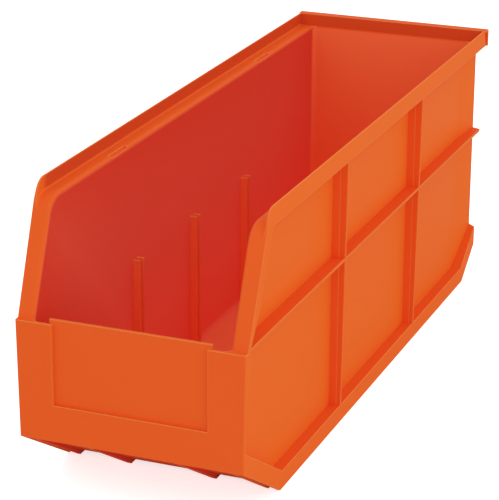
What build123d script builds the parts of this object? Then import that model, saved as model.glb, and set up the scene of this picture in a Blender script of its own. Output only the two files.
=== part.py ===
"""Stackable shelf bin with an open hopper front, moulded in one piece.

Millimetres. X runs across the bin, +Y from the hopper front to the back, +Z up.
The origin is on the ground under the middle of the whole length and width.
"""

import os
from math import atan, cos, tan

from build123d import *

# Whole bin
width = 140.0
length = 457.0
height = 178.0
wall = 1.8  # every moulded wall, plate and skirt

# Side view of the mouth and the base
front_height = 105.5  # top of the front wall
front_sill = 35.0  # bottom of the front wall, where the sloping base begins
sill_setback = 3.8  # the cheek starts this far behind the front face
rim_setback = 33.0  # the cheek line reaches the top of the rim this far back
slope_run = 57.0  # length of the sloping base under the front wall
heel_run = 30.0  # length of the bevel under the back
heel_rise = 21.5

# Stiffened frame that goes round each side
side_inset = 9.3  # from the outside of the rim to the side wall
foot_taper = 2.2  # the foot is narrower than the rim, so it drops inside it
base_band = 11.0  # height of the frame along the base
cheek_band = 6.8  # depth of the frame along the mouth
cheek_taper = 20.0  # above the front wall the cheek frame narrows over this height
sill_band = 2.4  # to this depth behind the foot of the mouth
skirt_depth = 11.0  # height of the frame along the rim
foot_rise = 2.8  # gap under the floor

# Stacking rim
upstand = 8.6  # height of the rim above the ledge that carries the next bin
rim_corner = 8.5  # front corner of the rim in side view
ledge_corner = 16.0  # front corner of the ledge in side view
ledge_fillet = 1.6
rim_lean = 0.9  # the outside of the upstand leans in by this much
soft_edge = 3.0  # radius along the inner edges of the ledges and the mouth
soft_crease = 1.03  # its arc is this much larger, so that it ends in a faint crease
notch_length = 22.0
notch_width = 3.4
notch_drop = 1.0
notch_places = (120.0, 353.0)  # middle of each notch, from the front face

# Hanging lip across the back
lip_reach = 6.6
lip_drop = 12.0
lip_corner = 1.8

# Ribs outside each side wall
rib_places = (159.5, 304.5)  # middle of each upright rib, from the front face
rib_height = 107.0  # top face of the long rib
rib_root = 3.4  # thickness at the wall
rib_shoulder = 2.6  # thickness where the thick root ends
rib_tip = 1.7
rib_step = 4.8  # depth of the thick root
corner_cut = 3.5  # the ribs and the base are cut back at the rear corners
flare_depth = 3.0  # the side wall flares out by this much at its rear corner
flare_length = 32.0

# Label recess in the front wall
label_width = 93.4
label_foot = 57.0  # height of its lower edge
label_depth = 2.2
label_lip = 2.5  # the back of the recess rises above the front wall

# Slots for dividers inside each side wall
slot_places = (138.0, 226.0, 313.0)  # middle of each slot, from the front face
slot_gap = 3.4
slot_rib = 1.8
slot_reach = 4.6
slot_height = 96.0

# Runners under the floor
runner_spacing = 54.0
runner_width = 2.6

# Rounded edges
inner_corner = 4.0
floor_corner = 3.0
front_edge = 1.2
edge = 0.4

front = -length / 2
back = length / 2 - lip_reach  # outside of the back wall
half = width / 2
wall_out = half - side_inset
wall_in = wall_out - wall
skirt_in = half - wall
ledge = height - upstand
skirt_foot = height - skirt_depth
floor_top = foot_rise + wall
over = 60.0  # how far a cut runs past the bin

slope_angle = atan(front_sill / slope_run)
heel_angle = atan(heel_rise / heel_run)
cheek_angle = atan((rim_setback - sill_setback) / (height - front_height))


def base_line(gap):
    """Side view of the base from front to back, raised by gap from the ground line."""
    return [
        (front - over, front_sill + over * tan(slope_angle) + gap / cos(slope_angle)),
        (front + slope_run + gap * tan(slope_angle / 2), gap),
        (back - heel_run - gap * tan(heel_angle / 2), gap),
        (back + over, heel_rise + over * tan(heel_angle) + gap / cos(heel_angle)),
    ]


def cheek_start(gap, top):
    """Where the mouth line, set in by gap, reaches the height top."""
    return front + sill_setback + gap / cos(cheek_angle) + (top - front_height) * tan(cheek_angle)


def behind_mouth(front_gap, mouth_gap, base_gap, top):
    """Side view of a space that stays clear of the front wall, the mouth and the base."""
    far = back + over
    Polygon(
        (cheek_start(mouth_gap, 0), 0),
        (far, 0),
        (far, top),
        (cheek_start(mouth_gap, top), top),
        align=None,
    )
    Polygon(*base_line(base_gap), (far, top), (front - over, top), align=None, mode=Mode.INTERSECT)
    with Locations((front + front_gap, 0)):
        Rectangle(length + over, top, align=Align.MIN, mode=Mode.INTERSECT)


def outer_foot(top):
    """Half width at the low end of a section, for a face that leans in like the outside."""
    return top - foot_taper * (skirt_foot + over) / skirt_foot


def side_channel(outer):
    """Section across the bin on both sides, from the side walls out to a leaning face."""
    for side in (1, -1):
        Polygon(
            (side * wall_out, -over),
            (side * outer_foot(outer), -over),
            (side * outer, skirt_foot),
            (side * outer, height + over),
            (side * wall_out, height + over),
            align=None,
        )


def rear_flare():
    """Plan of the flare at the rear ends of the side walls."""
    for side in (1, -1):
        Polygon(
            (side * wall_in, back - flare_length),
            (side * wall_out, back - flare_length),
            (side * (wall_out + flare_depth), back),
            (side * wall_in, back),
            align=None,
        )


def rear_wedge(shift):
    """Plan of what is cut off outside the rear corners, set forward by shift."""
    for side in (1, -1):
        Polygon(
            (side * wall_out, back - shift),
            (side * half, back - shift - corner_cut),
            (side * (half + over), back - shift - corner_cut),
            (side * (half + over), back + over),
            (side * wall_out, back + over),
            align=None,
        )


def on_ledge(e):
    """True for the edges where the upstand and the back wall meet the ledge."""
    at_side = abs(e.center().X) > skirt_in - 0.1
    return at_side and front < e.center().Y < back - wall - 1 and e.bounding_box().max.Z < ledge + 0.1


def on_rim_top(e):
    """True for the top edges of the upstands."""
    middle = e.center()
    flat = abs(middle.Z - height) < 0.05 and abs(middle.X) > skirt_in - 0.1
    turning = e.geom_type == GeomType.CIRCLE and abs(e.radius - rim_corner) < 0.1
    return (flat or turning) and e.bounding_box().size.Y > 4


def on_front_side(e):
    """True for the upright edges at both ends of the front wall."""
    middle = e.center()
    spread = e.bounding_box().size
    return abs(middle.Y - front) < 0.1 and abs(middle.X) > wall_out and spread.Z > spread.X


# Space for the goods
with BuildPart() as cavity:
    with BuildSketch(Plane.YZ):
        Polygon(*base_line(floor_top), (back + over, height + over), (front - over, height + over), align=None)
        with Locations((front + wall, 0)):
            Rectangle(back - front - 2 * wall, height + over, align=Align.MIN, mode=Mode.INTERSECT)
        fillet(vertices().filter_by_position(Axis.Y, 0, front_height), floor_corner)
    extrude(amount=wall_in, both=True)
    sides = cavity.edges().filter_by(lambda e: abs(e.center().X) > wall_in - 0.1)
    uprights = sides.filter_by(Axis.Z)
    fillet(uprights + sides.filter_by(lambda e: e.center().Z < front_height / 2), inner_corner)

# Space above the ledges, where the foot of the next bin stands
with BuildPart() as stack_space:
    with BuildSketch(Plane.YZ):
        with BuildLine():
            Polyline(
                (front - over, front_height),
                (cheek_start(-0.1, front_height), front_height),
                (cheek_start(-0.1, ledge), ledge),
                (back - wall, ledge),
                (back - wall, height + over),
                (front - over, height + over),
                close=True,
            )
        make_face()
        fillet(vertices().filter_by_position(Axis.Y, ledge, ledge).sort_by(Axis.X)[0], ledge_corner)
    extrude(amount=skirt_in, both=True)
    fillet(stack_space.edges().filter_by(on_ledge), ledge_fillet)

# What is taken off the inner edges of the ledges and the mouth to round them
with BuildPart() as edge_rounding:
    with BuildLine(Plane.YZ.offset(wall_in)) as edge_route:
        Polyline(
            (cheek_start(-0.1, front_height - over / 4), front_height - over / 4),
            (cheek_start(-0.1, ledge), ledge),
            (back - wall - floor_corner, ledge),
        )
        fillet(edge_route.vertices().sort_by(Axis.Z)[-2:].sort_by(Axis.Y)[0], ledge_corner)
    with BuildSketch(Plane(edge_route.line @ 0, x_dir=(1, 0, 0), z_dir=edge_route.line % 0)):
        with Locations((-1, -1)):
            Rectangle(soft_edge + 1, soft_edge + 1, align=Align.MIN)
        with Locations((soft_edge, soft_edge)):
            Circle(soft_edge * soft_crease, mode=Mode.SUBTRACT)
    sweep()
    mirror(about=Plane.YZ)
    with BuildSketch(Plane.XY.offset(front_height)):
        Rectangle(width, length)
    extrude(amount=height, mode=Mode.INTERSECT)

# Pockets outside the side walls: first behind the plates of the frame, then through its outer skirt
with BuildPart() as side_pocket:
    with BuildSketch(Plane.YZ):
        behind_mouth(wall, wall, base_band, ledge - wall)
        fillet(vertices().group_by(Axis.Y)[-1].sort_by(Axis.X)[0], ledge_corner - wall)
        fillet(vertices().filter_by_position(Axis.Y, 0, front_height).sort_by(Axis.X)[0:3], 1)
    extrude(amount=half, both=True)
    with BuildSketch(Plane.XZ):
        side_channel(skirt_in)
    extrude(amount=length, both=True, mode=Mode.INTERSECT)
    with BuildSketch():
        rear_flare()
    extrude(amount=height, mode=Mode.SUBTRACT)

with BuildPart() as skirt_window:
    with BuildSketch(Plane.YZ):
        Polygon(
            (cheek_start(cheek_band, front_height + cheek_taper), front_height + cheek_taper),
            (back, front_height + cheek_taper),
            (back, 0),
            (front + sill_setback + sill_band, 0),
            (front + sill_setback + sill_band, front_height),
            align=None,
        )
        behind_mouth(wall, cheek_band, base_band, skirt_foot)
    extrude(amount=half + over, both=True)
    with BuildSketch(Plane.XZ):
        side_channel(half + over)
    extrude(amount=length, both=True, mode=Mode.INTERSECT)
    with BuildSketch():
        rear_flare()
    extrude(amount=height, mode=Mode.SUBTRACT)

# Hollow under the base frame
with BuildPart() as base_hollow:
    with BuildSketch(Plane.YZ):
        Polygon(*base_line(base_band - wall), (back + over, -over), (front - over, -over), align=None)
        with Locations((front + wall, -over)):
            Rectangle(back - front - wall, height, align=Align.MIN, mode=Mode.INTERSECT)
    extrude(amount=half, both=True)
    with BuildSketch(Plane.XZ):
        side_channel(skirt_in)
    extrude(amount=length, both=True, mode=Mode.INTERSECT)
    with BuildSketch():
        rear_wedge(wall * 2)
    extrude(amount=skirt_foot, mode=Mode.SUBTRACT)

# Hollow under the floor between the side walls
with BuildPart() as floor_hollow:
    with BuildSketch(Plane.YZ):
        Polygon(*base_line(foot_rise), (back + over, -over), (front - over, -over), align=None)
        with Locations((front + wall, -over)):
            Rectangle(back - front - 2 * wall, height, align=Align.MIN, mode=Mode.INTERSECT)
    extrude(amount=wall_in, both=True)
    with BuildSketch():
        with GridLocations(runner_spacing, 0, 2, 1):
            Rectangle(runner_width, length)
    extrude(amount=height, both=True, mode=Mode.SUBTRACT)

# Ribs outside the side walls, thick at the root and thin beyond the step
with BuildPart() as ribs:
    with BuildSketch():
        for place in rib_places:
            with Locations((0, front + place)):
                Rectangle(2 * half, rib_tip)
                for side in (1, -1):
                    Polygon(
                        (side * wall_out, -rib_root / 2),
                        (side * (wall_out + rib_step), -rib_shoulder / 2),
                        (side * (wall_out + rib_step), rib_shoulder / 2),
                        (side * wall_out, rib_root / 2),
                        align=None,
                    )
    extrude(amount=skirt_foot)
    with BuildSketch(Plane.XZ):
        with Locations((0, rib_height)):
            Rectangle(2 * half, rib_tip, align=(Align.CENTER, Align.MAX))
        for side in (1, -1):
            Polygon(
                (side * wall_out, rib_height),
                (side * (wall_out + rib_step), rib_height),
                (side * (wall_out + rib_step), rib_height - rib_shoulder),
                (side * wall_out, rib_height - rib_root),
                align=None,
            )
    extrude(amount=back, both=True)
    with BuildSketch(Plane.YZ):
        behind_mouth(wall / 2, wall / 2, base_band / 2, skirt_foot)
        with Locations((back, 0)):
            Rectangle(over + length, height, align=Align.MIN, mode=Mode.SUBTRACT)
    extrude(amount=half, both=True, mode=Mode.INTERSECT)
    with BuildSketch(Plane.XZ):
        side_channel(half)
    extrude(amount=length, both=True, mode=Mode.INTERSECT)

with BuildPart() as shelf_bin:
    # Outside of the moulding
    with BuildSketch(Plane.YZ):
        Polygon(
            (front + slope_run, 0),
            (back - heel_run, 0),
            (back, heel_rise),
            (back, height),
            (front + rim_setback, height),
            (front + sill_setback, front_height),
            (front, front_height),
            (front, front_sill),
            align=None,
        )
        fillet(vertices().group_by(Axis.Y)[-1].sort_by(Axis.X)[0], rim_corner)
    extrude(amount=half, both=True)
    with BuildSketch(Plane.XZ):
        Polygon(
            (-outer_foot(half), -over),
            (outer_foot(half), -over),
            (half, skirt_foot),
            (half - rim_lean, height),
            (-half + rim_lean, height),
            (-half, skirt_foot),
            align=None,
        )
    extrude(amount=length, both=True, mode=Mode.INTERSECT)
    fillet(shelf_bin.edges().filter_by(on_front_side), front_edge)

    # Hollows
    add(cavity.part, mode=Mode.SUBTRACT)
    add(stack_space.part, mode=Mode.SUBTRACT)
    add(edge_rounding.part, mode=Mode.SUBTRACT)
    add(side_pocket.part, mode=Mode.SUBTRACT)
    add(skirt_window.part, mode=Mode.SUBTRACT)
    add(base_hollow.part, mode=Mode.SUBTRACT)
    add(floor_hollow.part, mode=Mode.SUBTRACT)

    # Rounded top of the rim
    fillet(shelf_bin.edges().filter_by(on_rim_top), edge)

    # Ribs, and the cut across the rear corners
    add(ribs.part)
    with BuildSketch():
        rear_wedge(0)
    extrude(amount=skirt_foot, mode=Mode.SUBTRACT)

    # Hanging lip
    with BuildSketch(Plane.YZ):
        with Locations((back, height)):
            Rectangle(lip_reach, lip_drop, align=(Align.MIN, Align.MAX))
        fillet(vertices().group_by(Axis.X)[-1].group_by(Axis.Y)[-1], lip_corner)
        with Locations((back, height - wall)):
            Rectangle(lip_reach - wall, lip_drop, align=(Align.MIN, Align.MAX), mode=Mode.SUBTRACT)
    extrude(amount=half, both=True)

    # Label recess with its raised back
    with BuildSketch(Plane.XY.offset(label_foot - wall)):
        with Locations((0, front + wall)):
            Rectangle(label_width + 2 * wall, label_depth, align=(Align.CENTER, Align.MIN))
    extrude(amount=front_height - label_foot + wall)
    with BuildSketch(Plane.XY.offset(label_foot)):
        with Locations((0, front)):
            Rectangle(label_width, label_depth, align=(Align.CENTER, Align.MIN))
    extrude(amount=height, mode=Mode.SUBTRACT)
    with BuildSketch(Plane.XY.offset(front_height)):
        with Locations((0, front + label_depth)):
            Rectangle(label_width + 4, wall, align=(Align.CENTER, Align.MIN))
    extrude(amount=label_lip)

    # Divider slots
    with BuildSketch(Plane.XY.offset(foot_rise)):
        for place in slot_places:
            with Locations((0, front + place)):
                Rectangle(2 * wall_out, slot_gap + 2 * slot_rib)
                Rectangle(2 * wall_out, slot_gap, mode=Mode.SUBTRACT)
        Rectangle(2 * (wall_in - slot_reach), length, mode=Mode.SUBTRACT)
        Rectangle(2 * wall_out - wall, length, mode=Mode.INTERSECT)
    extrude(amount=slot_height - foot_rise)

    # Notches along the inner edges of the ledges
    with BuildSketch(Plane.XY.offset(height)):
        for place in notch_places:
            with Locations((0, front + place)):
                Rectangle(2 * (wall_in + notch_width), notch_length)
    extrude(amount=-upstand - notch_drop, mode=Mode.SUBTRACT)

shelf_bin.part.label = "bin"
os.makedirs("parts", exist_ok=True)
export_step(shelf_bin.part, "parts/bin.step")
box = shelf_bin.part.bounding_box()
print("solids", len(shelf_bin.part.solids()), "faces", len(shelf_bin.part.faces()))
print("size", round(box.size.X, 2), round(box.size.Y, 2), round(box.size.Z, 2))
print("centre", round(box.center().X, 2), round(box.center().Y, 2), "volume", round(shelf_bin.part.volume))
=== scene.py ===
# %% [markdown]
# # An orange shelf bin
#
# The real object is one injection moulding in polypropylene: a long open box with a low hopper front, a rim
# that the next bin stacks on, and a frame of ribs round each side. The whole shape is already in the CAD model,
# with its large radii, so this lesson is about its surface, its light and its camera.

# %% Load the frame
from math import cos, radians, sin

import bpy
from mathutils import Matrix, Vector

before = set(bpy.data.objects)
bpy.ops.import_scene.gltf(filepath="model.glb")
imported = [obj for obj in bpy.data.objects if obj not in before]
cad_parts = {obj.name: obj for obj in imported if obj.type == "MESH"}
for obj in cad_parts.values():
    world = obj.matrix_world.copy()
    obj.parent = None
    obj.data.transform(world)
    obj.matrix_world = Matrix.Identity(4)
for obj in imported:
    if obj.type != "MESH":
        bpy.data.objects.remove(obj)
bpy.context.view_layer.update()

bin_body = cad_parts["bin"]
print("material slots:", [slot.name for slot in bin_body.material_slots])

# %% [markdown]
# ## Helpers for node trees
#
# A procedural material is a small program. These helpers keep it readable. The first four make a node, join two
# sockets, make a group with named inputs and outputs, and place a group. The others each add one small step of
# arithmetic and give back its output socket.

# %% Helpers
def add_node(tree, kind, **values):
    """Makes a node. Names that match its properties are set there, the rest go to its input sockets."""
    node = tree.nodes.new(kind)
    for name, value in values.items():
        if hasattr(node, name):
            setattr(node, name, value)
        else:
            node.inputs[name.replace("_", " ").title()].default_value = value
    return node


def join(tree, source, target):
    """Joins an output socket to an input socket."""
    tree.links.new(source, target)


def new_group(name, inputs, outputs):
    """Makes an empty node group. inputs maps a name to a number; outputs maps a name to a socket type."""
    tree = bpy.data.node_groups.new(name, "ShaderNodeTree")
    for label, value in inputs.items():
        socket = tree.interface.new_socket(name=label, in_out="INPUT", socket_type="NodeSocketFloat")
        socket.default_value = value
    for label, kind in outputs.items():
        tree.interface.new_socket(name=label, in_out="OUTPUT", socket_type=kind)
    entry = tree.nodes.new("NodeGroupInput")
    exit_node = tree.nodes.new("NodeGroupOutput")
    return tree, entry, exit_node


def use_group(tree, group):
    """Places a group in a material."""
    node = tree.nodes.new("ShaderNodeGroup")
    node.node_tree = group
    return node


def fill(tree, socket, value):
    """Joins value to the socket when it is an output, and writes it there when it is a number or a colour."""
    if isinstance(value, bpy.types.NodeSocket):
        join(tree, value, socket)
    else:
        socket.default_value = value


def add_math(tree, operation, *values):
    """Adds one step of arithmetic."""
    node = add_node(tree, "ShaderNodeMath", operation=operation)
    for socket, value in zip(node.inputs, values):
        fill(tree, socket, value)
    return node.outputs["Value"]


def add_range(tree, source, low, high, to_low=0.0, to_high=1.0):
    """Takes source from low at to_low to high at to_high, and holds it there at both ends."""
    node = add_node(tree, "ShaderNodeMapRange")
    for label, value in (("From Min", low), ("From Max", high), ("To Min", to_low), ("To Max", to_high)):
        fill(tree, node.inputs[label], value)
    join(tree, source, node.inputs["Value"])
    return node.outputs["Result"]


def multiply_all(tree, parts):
    """Multiplies masks, so that the result is one only where all of them are."""
    product = parts[0]
    for part in parts[1:]:
        product = add_math(tree, "MULTIPLY", product, part)
    return product


def add_node_after(tree, vector, kind, **values):
    """Makes a node that takes vector as its Vector input."""
    node = add_node(tree, kind, **values)
    join(tree, vector, node.inputs["Vector"])
    return node


def split(tree, vector):
    """Gives the X, Y and Z outputs of a vector."""
    return add_node_after(tree, vector, "ShaderNodeSeparateXYZ").outputs


def mix_tones(tree, first, second, factor):
    """Mixes two colours; each is a colour or an output socket."""
    node = add_node(tree, "ShaderNodeMix", data_type="RGBA")
    fill(tree, node.inputs["A"], first)
    fill(tree, node.inputs["B"], second)
    join(tree, factor, node.inputs["Factor"])
    return node.outputs["Result"]

# %% [markdown]
# ## Softened edges and a painted highlight
#
# Every edge of a moulding is rounded by half a millimetre or so. The large radii are in the mesh. For the small
# ones a Bevel node bends the normal near each edge, which costs no faces. An outward edge also gets a thin
# bright line painted into its colour, a painted highlight. An Ambient Occlusion node that looks into the
# plastic finds those edges and no inward corners, because its short rays leave the wall only beside an outward
# edge. Its reach has to stay under the thinnest plastic, which is 0.8 mm below the notches. The painted
# highlight is strongest where an edge looks up, as under light from above.

# %% Edge group
# The three settings below shape the painted highlight, a bright line painted on outward edges.
openness = (0.97, 0.65)  # no line while the probe gives the first, a full line once it gives the second
upright_highlight = 0.35  # how strong the line is on an upright edge
full_highlight_facing = 0.6  # the line is full once the edge looks up this much


def make_edge_and_highlight_group():
    tree, entry, exit_node = new_group(
        "rounded_edges_and_painted_highlight",
        {"Radius": 0.0006, "Reach": 0.0007},
        {"Normal": "NodeSocketVector", "Edge": "NodeSocketFloat"},
    )
    bevel = add_node(tree, "ShaderNodeBevel", samples=6)
    join(tree, entry.outputs["Radius"], bevel.inputs["Radius"])
    probe = add_node(tree, "ShaderNodeAmbientOcclusion", samples=8, inside=True, only_local=True)
    join(tree, entry.outputs["Reach"], probe.inputs["Distance"])
    # Painted highlight: one beside outward edges, strongest where the edge looks up.
    spread = add_range(tree, probe.outputs["AO"], *openness)
    facing = split(tree, bevel.outputs["Normal"])
    upward = add_range(tree, facing["Z"], 0.0, full_highlight_facing, to_low=upright_highlight)
    join(tree, bevel.outputs["Normal"], exit_node.inputs["Normal"])
    join(tree, multiply_all(tree, (spread, upward)), exit_node.inputs["Edge"])
    return tree


rounded_edges_and_painted_highlight = make_edge_and_highlight_group()
print("group:", rounded_edges_and_painted_highlight.name, "with", len(rounded_edges_and_painted_highlight.nodes), "nodes")

# %% [markdown]
# ## Moulded surface
#
# The steel of a mould is often spark-eroded to a fine matt grain, which the plastic copies. The plastic also
# shrinks unevenly as it cools, so large faces are never quite flat, and the colour drifts a little where it
# flowed round the ribs. The group makes those three things at three scales: grain under a millimetre, waves of
# several centimetres, and soft streaks along the flow. Its last output marks a few faint scuffs along the bin.

# %% Surface group
wave_share = 12.0  # how much higher the waves are than the grain
flow_scale = (14.0, 3.0, 14.0)  # streaks per metre, drawn out along the bin
scuff_scale = (260.0, 22.0, 260.0)
scuff_turn = (radians(8), 0.0, radians(5))
scuff_limits = (0.66, 0.80)  # only the highest noise makes a scuff


def make_surface_group():
    tree, entry, exit_node = new_group(
        "moulded_surface",
        {"Grain scale": 1400.0, "Wave scale": 16.0},
        {"Height": "NodeSocketFloat", "Drift": "NodeSocketFloat", "Scuffs": "NodeSocketFloat"},
    )
    place = add_node(tree, "ShaderNodeTexCoord").outputs["Object"]
    grain = add_node_after(tree, place, "ShaderNodeTexNoise", detail=3.0, roughness=0.6)
    join(tree, entry.outputs["Grain scale"], grain.inputs["Scale"])
    wave = add_node_after(tree, place, "ShaderNodeTexNoise", detail=1.0, roughness=0.4)
    join(tree, entry.outputs["Wave scale"], wave.inputs["Scale"])
    height = add_math(tree, "MULTIPLY_ADD", wave.outputs["Fac"], wave_share, grain.outputs["Fac"])

    flow = add_node_after(tree, place, "ShaderNodeMapping")
    flow.inputs["Scale"].default_value = flow_scale
    streaks = flow.outputs["Vector"]
    drift = add_node_after(tree, streaks, "ShaderNodeTexNoise", scale=1.0, detail=4.0, roughness=0.55)
    drift.inputs["Distortion"].default_value = 0.6

    marks = add_node_after(tree, place, "ShaderNodeMapping")
    marks.inputs["Scale"].default_value = scuff_scale
    marks.inputs["Rotation"].default_value = scuff_turn
    scuffs = add_node_after(
        tree, marks.outputs["Vector"], "ShaderNodeTexNoise", scale=1.0, detail=5.0, roughness=0.7
    )

    join(tree, height, exit_node.inputs["Height"])
    join(tree, drift.outputs["Fac"], exit_node.inputs["Drift"])
    join(tree, add_range(tree, scuffs.outputs["Fac"], *scuff_limits), exit_node.inputs["Scuffs"])
    return tree


moulded_surface = make_surface_group()
print("group:", moulded_surface.name, "with", len(moulded_surface.nodes), "nodes")

# %% [markdown]
# ## A mask for painted light on the faces that look sideways
#
# The real plastic is one colour all over. In the photograph its side panels still look a yellower orange than
# the front, and plain white light does not give that difference, so a mask lets the material add it as painted
# light. The mask is one where a face looks left or right, and falls to zero as it turns away.

# %% Side faces group
def make_side_light_group():
    tree, entry, exit_node = new_group(
        "side_painted_light",
        {"Least": 0.5, "Full": 0.9},
        {"Sideways": "NodeSocketFloat"},
    )
    facing = split(tree, add_node(tree, "ShaderNodeNewGeometry").outputs["Normal"])
    across = add_math(tree, "ABSOLUTE", facing["X"])
    sideways = add_range(tree, across, entry.outputs["Least"], entry.outputs["Full"])
    join(tree, sideways, exit_node.inputs["Sideways"])
    return tree


side_painted_light = make_side_light_group()
print("group:", side_painted_light.name, "with", len(side_painted_light.nodes), "nodes")

# %% [markdown]
# ## A mask for painted shade on the inside of the upstand
#
# The inner face of the rim's upstand is darker in the photograph than soft light from all sides leaves it, so
# that shade is painted into its colour. The mask is one on the upright faces above the ledge, from just behind
# the rim's front corner to the back wall.

# %% Upstand group
back_limit = 0.2210  # just behind the inner face of the back wall; all places are in metres
upstand_half = 0.0687  # just outside the inner faces of the upstands
upstand_start = (-0.192, -0.186)  # behind the rounded front corner of the rim
upright_facing = (0.7, 0.3)


def mask_between(tree, axes, half_width, start):
    """Masks for: within half_width of the middle, behind start, and ahead of the back limit."""
    across = add_math(tree, "ABSOLUTE", axes["X"])
    between = add_math(tree, "LESS_THAN", across, half_width)
    behind = add_range(tree, axes["Y"], *start)
    ahead = add_math(tree, "LESS_THAN", axes["Y"], back_limit)
    return between, behind, ahead


def make_upstand_shade_group():
    tree, entry, exit_node = new_group(
        "upstand_painted_shade",
        {"Ledge height": 0.1697},
        {"Shade": "NodeSocketFloat"},
    )
    facing = split(tree, add_node(tree, "ShaderNodeNewGeometry").outputs["Normal"])
    axes = split(tree, add_node(tree, "ShaderNodeTexCoord").outputs["Object"])
    above = add_math(tree, "GREATER_THAN", axes["Z"], entry.outputs["Ledge height"])
    upright = add_range(tree, facing["Z"], *upright_facing)
    parts = (above, *mask_between(tree, axes, upstand_half, upstand_start), upright)
    join(tree, multiply_all(tree, parts), exit_node.inputs["Shade"])
    return tree


upstand_painted_shade = make_upstand_shade_group()
print("group:", upstand_painted_shade.name, "with", len(upstand_painted_shade.nodes), "nodes")

# %% [markdown]
# ## Masks for painted light and shade in the goods space
#
# The walls of the goods space are seen by light that has already bounced off orange plastic. In the photograph
# they turn to an even crimson, while bounces alone give a red that goes from pale at the mouth to dark at the
# back, so the material paints the crimson in as painted shade near the mouth and painted light deep inside. The
# first mask is one inside the goods space, found from the place on the bin, and zero on the undersides, found
# from the way the face points. The second marks the faces that look at the mouth and, less, the floor, which
# the photograph shows more orange, and they get a brighter painted light. The third grows with the depth below
# the open top and behind the mouth.

# %% Goods space group
space_start = (-0.2245, -0.2235)
space_top = (0.1692, 0.1682)  # the first mask fades out just under the ledges
open_top = 0.169
open_front = -0.215
full_depth = 0.12
underside_facing = -0.2
mouth_facing = (-0.3, -0.7)
floor_share = 0.6  # how far the floor follows the faces that look at the mouth


def make_space_light_group():
    tree, entry, exit_node = new_group(
        "goods_space_painted_light_and_shade",
        {"Half width": 0.0595},
        {"Inside": "NodeSocketFloat", "Rear": "NodeSocketFloat", "Depth": "NodeSocketFloat"},
    )
    facing = split(tree, add_node(tree, "ShaderNodeNewGeometry").outputs["Normal"])
    axes = split(tree, add_node(tree, "ShaderNodeTexCoord").outputs["Object"])
    below = add_range(tree, axes["Z"], *space_top)
    not_underside = add_math(tree, "GREATER_THAN", facing["Z"], underside_facing)
    parts = (*mask_between(tree, axes, entry.outputs["Half width"], space_start), below, not_underside)
    join(tree, multiply_all(tree, parts), exit_node.inputs["Inside"])

    to_mouth = add_range(tree, facing["Y"], *mouth_facing)
    upward = add_range(tree, facing["Z"], 0.0, 1.0, to_high=floor_share)
    join(tree, add_math(tree, "MAXIMUM", to_mouth, upward), exit_node.inputs["Rear"])

    under_top = add_math(tree, "SUBTRACT", open_top, axes["Z"])
    past_mouth = add_math(tree, "SUBTRACT", axes["Y"], open_front)
    nearest = add_math(tree, "MINIMUM", under_top, past_mouth)
    join(tree, add_range(tree, nearest, 0.0, full_depth), exit_node.inputs["Depth"])
    return tree


goods_space_painted_light_and_shade = make_space_light_group()
print("group:", goods_space_painted_light_and_shade.name, "with", len(goods_space_painted_light_and_shade.nodes), "nodes")

# %% [markdown]
# ## Orange polypropylene
#
# The colour is all through the plastic, so there is no paint coat: one Principled shader with low gloss does
# it. The outside drifts a little between the light and the deep tone. The other tones are not properties of
# the plastic but painted light and shade. They are set so that each region looks as it does in the photograph
# under this scene's light: painted light on the sides, painted shade on the inside of the upstand, painted
# shade near the mouth of the goods space and painted light deep inside it and on its back wall, and a painted
# highlight on the edges. In a scene with other light, give all of them the light tone.

# %% Plastic material
plastic_ior = 1.49
gloss = 0.012  # Specular IOR Level
drift_limits = (0.3, 0.7)
roughness_limits = (0.40, 0.52)  # of the plain surface and of a scuff


def make_plastic(name, tones):
    material = bpy.data.materials.new(name)
    material.use_nodes = True
    tree = material.node_tree
    tree.nodes.clear()
    output = add_node(tree, "ShaderNodeOutputMaterial")
    shader = add_node(tree, "ShaderNodeBsdfPrincipled")
    join(tree, shader.outputs["BSDF"], output.inputs["Surface"])
    shader.inputs["IOR"].default_value = plastic_ior
    shader.inputs["Specular IOR Level"].default_value = gloss

    surface = use_group(tree, moulded_surface).outputs
    edges = use_group(tree, rounded_edges_and_painted_highlight).outputs
    sides = use_group(tree, side_painted_light).outputs
    upstand = use_group(tree, upstand_painted_shade).outputs
    inside = use_group(tree, goods_space_painted_light_and_shade).outputs

    drift = add_range(tree, surface["Drift"], *drift_limits)
    outside = mix_tones(tree, tones["deep"], tones["light"], drift)
    # Painted light: a brighter, yellower tone on the faces that look sideways.
    outside = mix_tones(tree, outside, tones["side"], sides["Sideways"])
    # Painted shade on the inner face of the upstand.
    outside = mix_tones(tree, outside, tones["upstand"], upstand["Shade"])
    # Painted shade near the mouth of the goods space, painted light deep inside, and painted light on the faces
    # that look at the mouth.
    walls = mix_tones(tree, tones["mouth"], tones["depth"], inside["Depth"])
    walls = mix_tones(tree, walls, tones["rear"], inside["Rear"])
    whole = mix_tones(tree, outside, walls, inside["Inside"])
    # Painted highlight: the bright edge tone on outward edges.
    whole = mix_tones(tree, whole, tones["edge"], edges["Edge"])
    join(tree, whole, shader.inputs["Base Color"])

    rough = add_range(tree, surface["Scuffs"], 0.0, 1.0, *roughness_limits)
    join(tree, rough, shader.inputs["Roughness"])

    bump = add_node(tree, "ShaderNodeBump", strength=0.12, distance=0.0001)
    join(tree, surface["Height"], bump.inputs["Height"])
    join(tree, edges["Normal"], bump.inputs["Normal"])
    join(tree, bump.outputs["Normal"], shader.inputs["Normal"])
    return material


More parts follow.
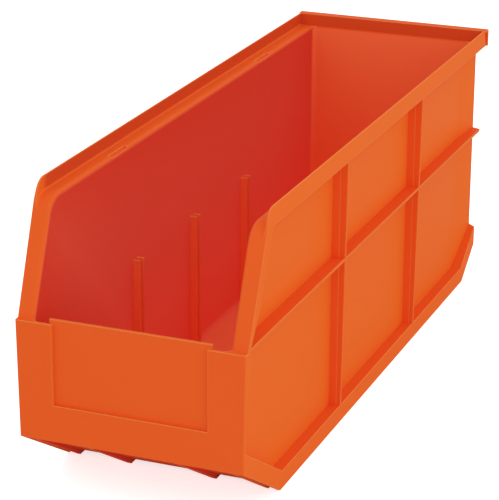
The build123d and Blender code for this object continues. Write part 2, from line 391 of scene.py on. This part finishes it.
orange_plastic = make_plastic(
    "orange_polypropylene",
    {
        "light": (0.92, 0.136, 0.024, 1.0),
        "deep": (0.91, 0.128, 0.022, 1.0),
        # painted light on the faces that look sideways
        "side": (0.94, 0.172, 0.022, 1.0),
        # painted shade on the inner face of the upstand
        "upstand": (0.74, 0.092, 0.022, 1.0),
        # painted shade near the mouth of the goods space
        "mouth": (0.77, 0.068, 0.034, 1.0),
        # painted light deep in the goods space
        "depth": (0.96, 0.205, 0.130, 1.0),
        # painted light on the faces that look at the mouth, and less on the floor
        "rear": (1.0, 0.210, 0.070, 1.0),
        # painted highlight on outward edges
        "edge": (1.0, 0.340, 0.090, 1.0),
    },
)
for slot in bin_body.material_slots:
    slot.material = orange_plastic
print("finish on the bin:", bin_body.material_slots[0].material.name)

# %% [markdown]
# ## Floor
#
# The bin stands on a plain white sheet that runs out of sight. Seen directly, the sheet is white; for all
# other light it is a pale matt surface, so it still darkens a little under the base.

# %% Floor
floor_side = 12.0
sheet_glow = 0.72
sheet_tone = (0.86, 0.86, 0.86, 1.0)


def add_camera_choice(tree, unseen, seen):
    """Mixes two shaders: the camera sees the second, and all other light meets the first."""
    path = add_node(tree, "ShaderNodeLightPath")
    choose = add_node(tree, "ShaderNodeMixShader")
    join(tree, path.outputs["Is Camera Ray"], choose.inputs["Fac"])
    join(tree, unseen, choose.inputs[1])
    join(tree, seen, choose.inputs[2])
    return choose.outputs["Shader"]


def make_white(name, glow):
    material = bpy.data.materials.new(name)
    material.use_nodes = True
    tree = material.node_tree
    tree.nodes.clear()
    output = add_node(tree, "ShaderNodeOutputMaterial")
    paper = add_node(tree, "ShaderNodeBsdfDiffuse")
    paper.inputs["Color"].default_value = sheet_tone
    lamp = add_node(tree, "ShaderNodeEmission", strength=glow)
    both = add_node(tree, "ShaderNodeAddShader")
    join(tree, paper.outputs["BSDF"], both.inputs[0])
    join(tree, lamp.outputs["Emission"], both.inputs[1])
    sheet = add_camera_choice(tree, paper.outputs["BSDF"], both.outputs["Shader"])
    join(tree, sheet, output.inputs["Surface"])
    return material


def make_floor(side):
    mesh = bpy.data.meshes.new("floor")
    half = side / 2
    corners = [(-half, -half, 0), (half, -half, 0), (half, half, 0), (-half, half, 0)]
    mesh.from_pydata(corners, [], [(0, 1, 2, 3)])
    floor = bpy.data.objects.new("floor", mesh)
    bpy.context.scene.collection.objects.link(floor)
    floor.data.materials.append(make_white("white_sheet", sheet_glow))
    return floor


floor = make_floor(floor_side)
print("floor side:", floor.dimensions.x, "m")

# %% [markdown]
# ## Light
#
# The photograph has no hard shadow anywhere, as under large soft boxes. A white world gives most of the light.
# One big area lamp on the camera's right makes the side panels a little brighter than the front, and a weak one
# lies ahead of the mouth.

# %% World and lamps
def make_world(strength):
    world = bpy.data.worlds.new("white_studio")
    bpy.context.scene.world = world
    world.use_nodes = True
    tree = world.node_tree
    tree.nodes.clear()
    output = add_node(tree, "ShaderNodeOutputWorld")
    soft = add_node(tree, "ShaderNodeBackground", strength=strength)
    white = add_node(tree, "ShaderNodeBackground", strength=1.0)
    for background in (soft, white):
        background.inputs["Color"].default_value = (1.0, 1.0, 1.0, 1.0)
    sky = add_camera_choice(tree, soft.outputs["Background"], white.outputs["Background"])
    join(tree, sky, output.inputs["Surface"])


def add_area_lamp(name, place, aim, side, watts):
    lamp = bpy.data.lights.new(name, "AREA")
    lamp.shape = "SQUARE"
    lamp.size = side
    lamp.energy = watts
    holder = bpy.data.objects.new(name, lamp)
    bpy.context.scene.collection.objects.link(holder)
    holder.location = place
    holder.rotation_euler = (Vector(aim) - Vector(place)).to_track_quat("-Z", "Y").to_euler()
    return holder


make_world(strength=0.82)
middle = (0.0, 0.0, 0.09)
side_lamp = add_area_lamp("side_softbox", place=(2.0, -0.9, 0.9), aim=middle, side=1.6, watts=5.0)
front_lamp = add_area_lamp("front_softbox", place=(-0.5, -2.2, 1.3), aim=middle, side=1.6, watts=1.0)
print("lamps:", side_lamp.name, front_lamp.name)

# %% [markdown]
# ## Camera
#
# The picture was taken with a long lens from the right of the mouth and a little above. The camera is
# described by where it looks from (azimuth, elevation and distance), by how far the frame's origin lies from
# the middle of the picture, and by a very small roll. The lens follows from the picture's longer side.

# %% Camera
sensor_width = 36.0  # mm


def make_camera(azimuth, elevation, roll, offset, distance, focal_px, picture_px):
    """offset is where the frame's origin lies, right of and above the picture's axis."""
    forward = Vector((-sin(azimuth) * cos(elevation), cos(azimuth) * cos(elevation), -sin(elevation)))
    right = Vector((cos(azimuth), sin(azimuth), 0.0))
    up = right.cross(forward)
    right_rolled = right * cos(roll) + up * sin(roll)
    up_rolled = -right * sin(roll) + up * cos(roll)
    place = -(right_rolled * offset[0] + up_rolled * offset[1] + forward * distance)
    data = bpy.data.cameras.new("photo_camera")
    data.sensor_width = sensor_width
    data.lens = focal_px * sensor_width / picture_px
    data.dof.use_dof = False
    data.clip_end = 50.0
    camera = bpy.data.objects.new("photo_camera", data)
    bpy.context.scene.collection.objects.link(camera)
    turn = Matrix((right_rolled, up_rolled, -forward)).transposed()
    camera.matrix_world = Matrix.Translation(place) @ turn.to_4x4()
    bpy.context.scene.camera = camera
    return camera


camera = make_camera(
    azimuth=radians(21.654),
    elevation=radians(20.031),
    roll=radians(0.286),
    offset=(0.01817, -0.07435),
    distance=1.41061,
    focal_px=2163.2,
    picture_px=500,
)
print("camera at", [round(value, 3) for value in camera.location], "lens", round(camera.data.lens, 1), "mm")

# %% [markdown]
# ## Picture settings
#
# The Standard view transform shows each colour as it is written. Light has to bounce many times between the
# walls of the goods space, so the limits on bounces are raised.

# %% Finish
bpy.context.scene.view_settings.view_transform = "Standard"
bpy.context.scene.cycles.max_bounces = 16
bpy.context.scene.cycles.diffuse_bounces = 12
